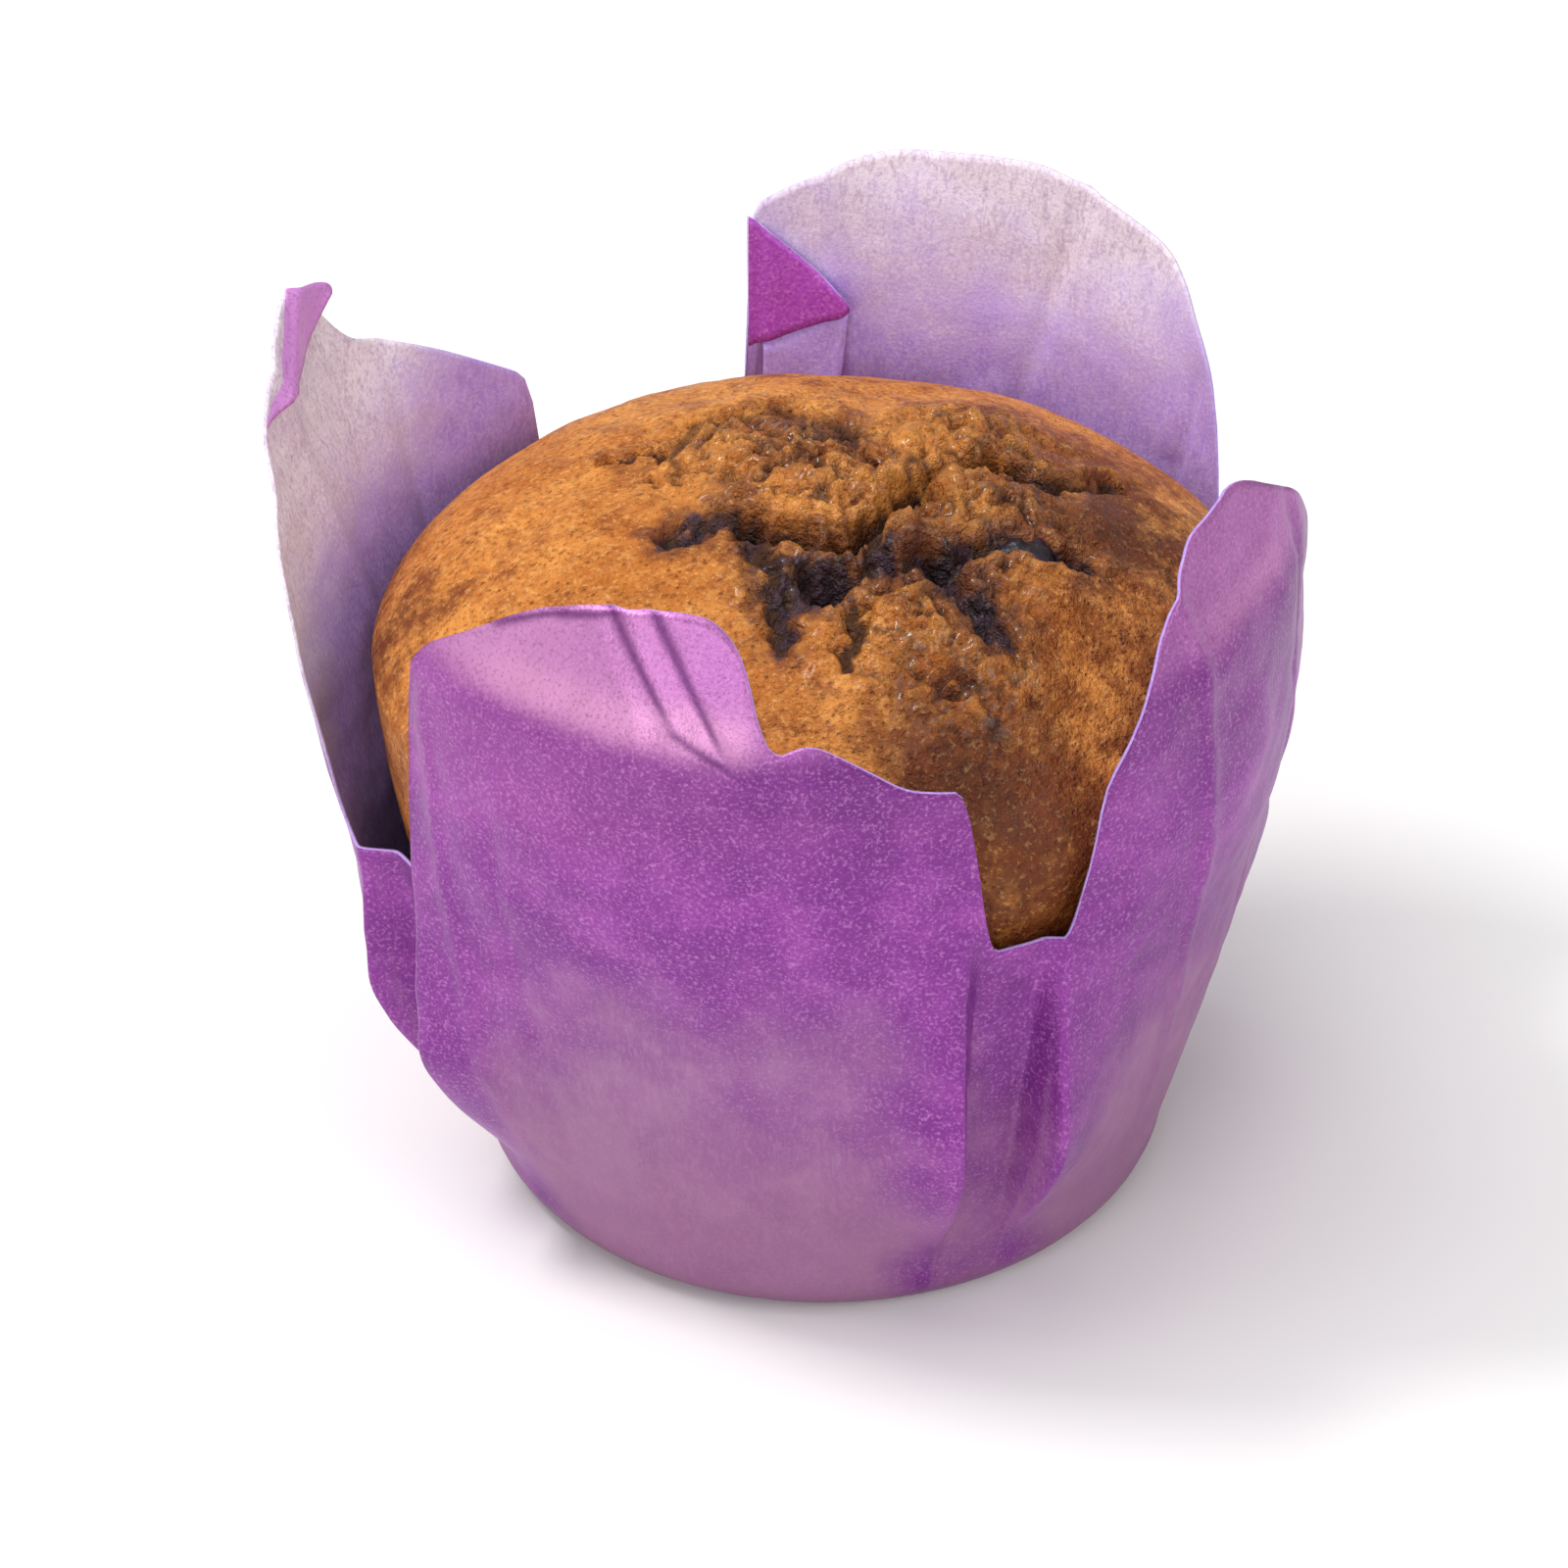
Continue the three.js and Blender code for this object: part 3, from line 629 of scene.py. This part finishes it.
def build_cake(material):
    """A sphere shaped into dome, side and foot, with the crust's relief and marks on it."""
    dome = along_profile(dome_profile())
    cup = along_profile(cup_profile())
    bm = bmesh.new()
    bmesh.ops.create_icosphere(bm, subdivisions=7, radius=1.0)
    layers = {key: bm.verts.layers.float.new(key) for key in MARKS}
    for vert in bm.verts:
        down = math.acos(clamp(vert.co.z, -1, 1)) / math.pi
        angle = math.atan2(vert.co.y, vert.co.x)
        if down < DOME_SHARE:
            radius, z = dome(down / DOME_SHARE)
            point = place(angle, radius, z)
            inward = 1 - (radius / RIM_RADIUS) ** RELIEF_FADE
            depth, lift, marks = crack_relief(point.x, point.y)
            detail, crumb_marks = crust_detail(point.x, point.y, point.z)
            point.z += inward * (base_relief(point.x, point.y) - depth + lift + detail)
            for key, value in {**marks, **crumb_marks}.items():
                vert[layers[key]] = value
        else:
            radius, z = cup((down - DOME_SHARE) / (1 - DOME_SHARE))
            around = Vector((math.cos(angle) * 9, math.sin(angle) * 9, z * 0.3))
            radius -= SIDE_ROUGHNESS * (1 + noise.noise(around))
            point = place(angle, max(radius, 0.0), z)
        vert[layers["browned"]] = max(
            strength * bell(math.hypot(point.x - bx, point.y - by), size)
            for bx, by, size, strength in BROWNED
        )
        vert.co = point
    bmesh.ops.smooth_vert(
        bm, verts=bm.verts, factor=0.25, use_axis_x=True, use_axis_y=True, use_axis_z=True)
    return finish_piece("baked_cake", bm, [material], "cake")


def build_berry(name, node, material, seed):
    """A burst berry, wrinkled and slumped, in the place of its solid."""
    low, high = (Vector(corner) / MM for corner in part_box(node))
    middle = (low + high) / 2
    half = (high - low) / 2
    bm = bmesh.new()
    bmesh.ops.create_icosphere(bm, subdivisions=5, radius=1.0)
    for vert in bm.verts:
        where = vert.co + Vector((seed, 0, 0))
        folds = 0.10 * noise.noise(where * 2.3) + 0.05 * (1 - 2 * abs(noise.noise(where * 5.0)))
        split = 0.12 * bell(vert.co.x - 0.25 * vert.co.y - 0.1, 0.13) * smooth(vert.co.z, 0.2, 0.9)
        vert.co *= 0.98 + folds - split
    bmesh.ops.scale(bm, vec=half, verts=bm.verts)
    bmesh.ops.translate(bm, vec=middle, verts=bm.verts)
    return finish_piece(name, bm, [material], node)


# Paper case


def edge_run(degrees):
    """The knots before and after an angle, and how far it lies between them."""
    at = (degrees - EDGE[0][0]) % 360 + EDGE[0][0]
    after = next((i for i, knot in enumerate(EDGE) if knot[0] > at), len(EDGE) - 1)
    first, second = EDGE[after - 1], EDGE[after]
    return first, second, clamp((at - first[0]) / (second[0] - first[0]))


def edge_knot(degrees):
    """Height and lean of the cut edge, with the corners rounded a little."""
    before, after, share = edge_run(degrees)
    nearer = before if share < 0.5 else after
    runs = [b[0] - a[0] for a, b in zip(EDGE, EDGE[1:]) if nearer in (a, b)]
    rounding = min(ROUNDED_MOST, ROUNDED_SHARE * min(runs))
    totals = [0.0, 0.0]
    offsets = (-1.0, -0.5, 0.0, 0.5, 1.0)
    for offset in offsets:
        before, after, share = edge_run(degrees + offset * rounding)
        for i in range(2):
            totals[i] += blend(before[i + 1], after[i + 1], share)
    return totals[0] / len(offsets), totals[1] / len(offsets)


def degrees_apart(a, b):
    return abs((a - b + 180) % 360 - 180)


def from_petal(degrees):
    """Degrees to the middle of the nearest petal."""
    return min(degrees_apart(degrees, petal) for petal in PETAL_ANGLES)


def fold_share(degrees):
    """1 on a fold, and 0 in the middle of a petal and of the pocket between two folds."""
    apart = from_petal(degrees)
    if apart > PANEL_HALF:
        return 1 - smooth(apart, PANEL_HALF, POCKET_FOOT)
    return (apart / PANEL_HALF) ** 3


def crease_relief(degrees, z):
    """How far the creases push the sheet out at a point."""
    relief = 0.0
    for (start_deg, start_z), (end_deg, end_z), half_width, height in CREASES:
        near = (degrees - start_deg + 180) % 360 - 180 + start_deg
        along = clamp((z - start_z) / (end_z - start_z))
        line = blend(start_deg, end_deg, along)
        across = abs(near - line) * MM_PER_DEGREE
        beyond = max(0.0, min(start_z, end_z) - z, z - max(start_z, end_z))
        relief += height * bell(across, half_width) * clamp(1 - beyond / CREASE_FADE)
    return relief


def sheet_radius(degrees, z, lean):
    """Radius of the sheet's middle before it is crumpled and squeezed."""
    cup = side_radius(z) + CAKE_INSET + STAND_OFF * smooth(z, STAND_OFF_START, STAND_OFF_FULL)
    fold = blend(cup, FOLD_RADIUS, smooth(z, FOLD_START, FOLD_FULL))
    rise = z - (LEAN_OUT_START if lean > 0 else LEAN_IN_START)
    rise = clamp(rise + BEND, 0.0, 2 * BEND) ** 2 / (4 * BEND) + max(0.0, rise - BEND)
    wave_height, waves, twist = RIPPLE
    wave = math.sin(math.radians(waves * degrees) + twist * z)
    ripple = wave_height * smooth(z, RIM_HEIGHT, TIP_HEIGHT) * wave
    middle, spread, start, rate = FLARE
    flare = rate * max(0.0, z - start) * bell(degrees_apart(degrees, middle), spread)
    return cup + max(0.0, fold - cup) * fold_share(degrees) + rise * lean + ripple + flare


def sheet_point(degrees, z, inward=0.0):
    """The outer face of the sheet at an angle and height, or a point inside it."""
    lean = edge_knot(degrees)[1]
    angle = math.radians(degrees)
    free = smooth(z, FOLD_START, FOLD_FULL)
    around = Vector((math.cos(angle) * 6.0, math.sin(angle) * 6.0, z * 0.16))
    crumple = sum(noise.noise(around * rate) * height for rate, height in CRUMPLE)
    radius = sheet_radius(degrees, z, lean) + (SHOWN_PAPER / 2 - inward)
    radius += free * (0.1 + max(-0.2, crumple) + crease_relief(degrees, z))
    return place(angle, radius, z)


def column_degrees(share):
    """Spreads the sheet's columns: close together on the folds and wider on the panels."""
    petal, within = divmod(share * len(PETAL_ANGLES), 1)
    stops = (
        (0.0, -PETAL_SPACING / 2), (0.05, -POCKET_FOOT), (0.14, -PANEL_HALF), (0.86, PANEL_HALF),
        (0.95, POCKET_FOOT), (1.0, PETAL_SPACING / 2),
    )
    (a, first), (b, second) = next(pair for pair in zip(stops, stops[1:]) if within <= pair[1][0])
    return FIRST_PETAL + PETAL_SPACING * petal + blend(first, second, (within - a) / (b - a))


def case_point(degrees, row, edge_height):
    """A point of the sheet, with the rows counted from the middle of the foot to the cut edge."""
    angle = math.radians(degrees)
    if row <= FLAT_ROWS:
        return place(angle, FOOT_FLAT * row / FLAT_ROWS, UNDERSIDE)
    row -= FLAT_ROWS
    if row <= FILLET_ROWS:
        turn = row / FILLET_ROWS * math.pi / 2
        radius = FOOT_FLAT + (FOOT_FILLET + SHOWN_PAPER / 2) * math.sin(turn)
        return place(angle, radius, FILLET_TOP - (FILLET_TOP - UNDERSIDE) * math.cos(turn))
    row -= FILLET_ROWS
    if row <= CUP_ROWS:
        return sheet_point(degrees, blend(FILLET_TOP, LEVEL_ROWS_TOP, row / CUP_ROWS))
    row -= CUP_ROWS
    return sheet_point(degrees, blend(LEVEL_ROWS_TOP, edge_height, row / PETAL_ROWS))


def case_marks(degrees, z, lean):
    """How greasy the sheet is at a point, with the painted highlight along the bend and the painted sheen
    where the sheet tips up.
    """
    in_pocket = from_petal(degrees) > (PANEL_HALF + POCKET_FOOT) / 2
    stuck = (1 - fold_share(degrees)) * smooth(z, GREASE_TOP, GREASE_FULL)
    stuck *= POCKET_GREASE if in_pocket else 1.0
    return {
        "greasy": clamp(stuck) if z > 1 else 0.6,
        # Painted highlight along the bend of the petals that lean in
        "bend_highlight": clamp((-lean - 0.3) / 0.22) * bell(z - RIDGE_HEIGHT, 2.3),
        # Painted sheen on the parts of the petals that lean in above their bend
        "upturned_sheen": clamp(-lean / 0.4) * smooth(z, LEAN_IN_START, RIDGE_HEIGHT + 1),
    }


def build_paper_case(outer, inner):
    """A grid rolled up into the case: columns round it, and rows from its foot to its cut edge."""
    rows = FLAT_ROWS + FILLET_ROWS + CUP_ROWS + PETAL_ROWS
    bm = bmesh.new()
    bmesh.ops.create_grid(bm, x_segments=COLUMNS, y_segments=rows, size=1.0)
    layers = {mark: bm.verts.layers.float.new(mark) for mark in ("greasy", "bend_highlight", "upturned_sheen")}
    round_case = [column_degrees(column / COLUMNS) for column in range(COLUMNS)]
    edge = [edge_knot(degrees) for degrees in round_case]
    for vert in bm.verts:
        column = round((vert.co.x + 1) / 2 * COLUMNS) % COLUMNS
        row = round((vert.co.y + 1) / 2 * rows)
        degrees = round_case[column]
        edge_height, lean = edge[column]
        point = case_point(degrees, row, edge_height)
        for mark, value in case_marks(degrees, point.z, lean).items():
            vert[layers[mark]] = value
        vert.co = point
    bmesh.ops.remove_doubles(bm, verts=bm.verts, dist=0.001)
    bmesh.ops.recalc_face_normals(bm, faces=bm.faces)
    piece = finish_piece("tulip_paper_case", bm, [outer, inner], "paper_case")
    thicken(piece)
    return piece


def thicken(piece):
    """Gives a sheet its thickness, with the second material inside and on the cut edge."""
    wall = piece.modifiers.new("paper_thickness", "SOLIDIFY")
    wall.thickness = SHOWN_PAPER * MM
    wall.offset = -1.0
    wall.material_offset = 1
    wall.material_offset_rim = 1


def build_flap(name, bluntness, corners, outer, inner):
    """A petal's corner folded over inwards, so that its other face shows."""
    (a_deg, a_z), (b_deg, b_z), (c_deg, c_z) = corners[:3]
    bm = bmesh.new()
    flat = [bm.verts.new((degrees, z, 0.0)) for degrees, z in corners]
    bm.faces.new(flat)
    folded = bm.verts.layers.float.new("folded")
    bmesh.ops.subdivide_edges(bm, edges=bm.edges, cuts=15, use_grid_fill=True)
    fold = Vector((b_deg - a_deg, b_z - a_z))
    reach = abs(fold.x * (c_z - a_z) - fold.y * (c_deg - a_deg))
    for vert in bm.verts:
        degrees, z = vert.co.x, vert.co.y
        away = abs(fold.x * (z - a_z) - fold.y * (degrees - a_deg)) / reach
        inward = SHOWN_PAPER + FOLD_BULGE * smooth(away, 0.0, FOLD_SHARE) + TIP_SPREAD * away * away
        blunt = bluntness * away ** (1 / bluntness)
        degrees += blunt * ((a_deg + b_deg) / 2 - c_deg)
        z += blunt * ((a_z + b_z) / 2 - c_z)
        vert.co = sheet_point(degrees, z, inward)
        vert[folded] = 1.0
    bmesh.ops.recalc_face_normals(bm, faces=bm.faces)
    facing = sum((face.normal for face in bm.faces), Vector())
    outwards = sum((vert.co for vert in bm.verts), Vector())
    if facing.dot(Vector((outwards.x, outwards.y, 0))) > 0:
        bmesh.ops.reverse_faces(bm, faces=bm.faces)
    piece = finish_piece(name, bm, [outer, inner])
    thicken(piece)
    return piece


# Stage, in metres and watts


def aim(thing, spot, target):
    """Puts a light or the camera in its spot, looking at its target."""
    turn = (target - spot).to_track_quat("-Z", "Y")
    thing.matrix_world = Matrix.Translation(spot) @ turn.to_matrix().to_4x4()


def add_area_light(name, spot, target, size, watts, colour=(1.0, 1.0, 1.0)):
    data = bpy.data.lights.new(name, "AREA")
    data.shape = "RECTANGLE"
    data.size, data.size_y = size
    data.energy = watts
    data.color = colour
    light = bpy.data.objects.new(name, data)
    bpy.context.scene.collection.objects.link(light)
    aim(light, Vector(spot), Vector(target))


def build_stage():
    bm = bmesh.new()
    bmesh.ops.create_grid(bm, x_segments=8, y_segments=8, size=3.0)
    mesh = bpy.data.meshes.new("floor")
    bm.to_mesh(mesh)
    bm.free()
    floor = bpy.data.objects.new("floor", mesh)
    bpy.context.scene.collection.objects.link(floor)
    mesh.materials.append(floor_material())

    world = bpy.data.worlds.new("studio")
    bpy.context.scene.world = world
    world.use_nodes = True
    background = world.node_tree.nodes["Background"]
    background.inputs["Color"].default_value = (1.0, 1.0, 1.0, 1.0)
    background.inputs["Strength"].default_value = 0.45
    middle = (0.0, 0.0, 0.04)
    add_area_light("overhead_light", (-0.2, 0.05, 1.0), middle, (0.8, 0.8), 4.4)
    add_area_light("key_light", (-0.5, 0.1, 0.85), middle, (0.2, 0.2), 4.2, (1.0, 0.985, 0.96))
    add_area_light("front_light", (-0.35, -0.8, 0.45), middle, (0.5, 0.4), 2.4)
    add_area_light("fill_light", (0.75, -0.5, 0.55), middle, (0.5, 0.5), 2.3)


def build_camera():
    """The photograph's viewing angle, with a long lens."""
    elevation = math.radians(37.5)
    distance = 1.3
    target = Vector((-0.0035, 0.0, 0.036))
    data = bpy.data.cameras.new("camera")
    data.lens = 342.0
    camera = bpy.data.objects.new("camera", data)
    bpy.context.scene.collection.objects.link(camera)
    spot = target + distance * Vector((0.0, -math.cos(elevation), math.sin(elevation)))
    aim(camera, spot, target)
    bpy.context.scene.camera = camera


bpy.context.scene.view_settings.view_transform = "Standard"
build_stage()
build_camera()

build_cake(crust_material())
berry_skin = berry_material()
build_berry("burst_berry_front", "berry_front", berry_skin, 1.0)
build_berry("burst_berry_right", "berry_right", berry_skin, 5.0)
satin = outer_paper_material()
lining = inner_paper_material()
build_paper_case(satin, lining)
for flap_name, flap_shape in FLAPS.items():
    build_flap(flap_name, *flap_shape, satin, lining)
build_flap("tip_turned_over_back_right", *TURNED_OVER, lining, satin)
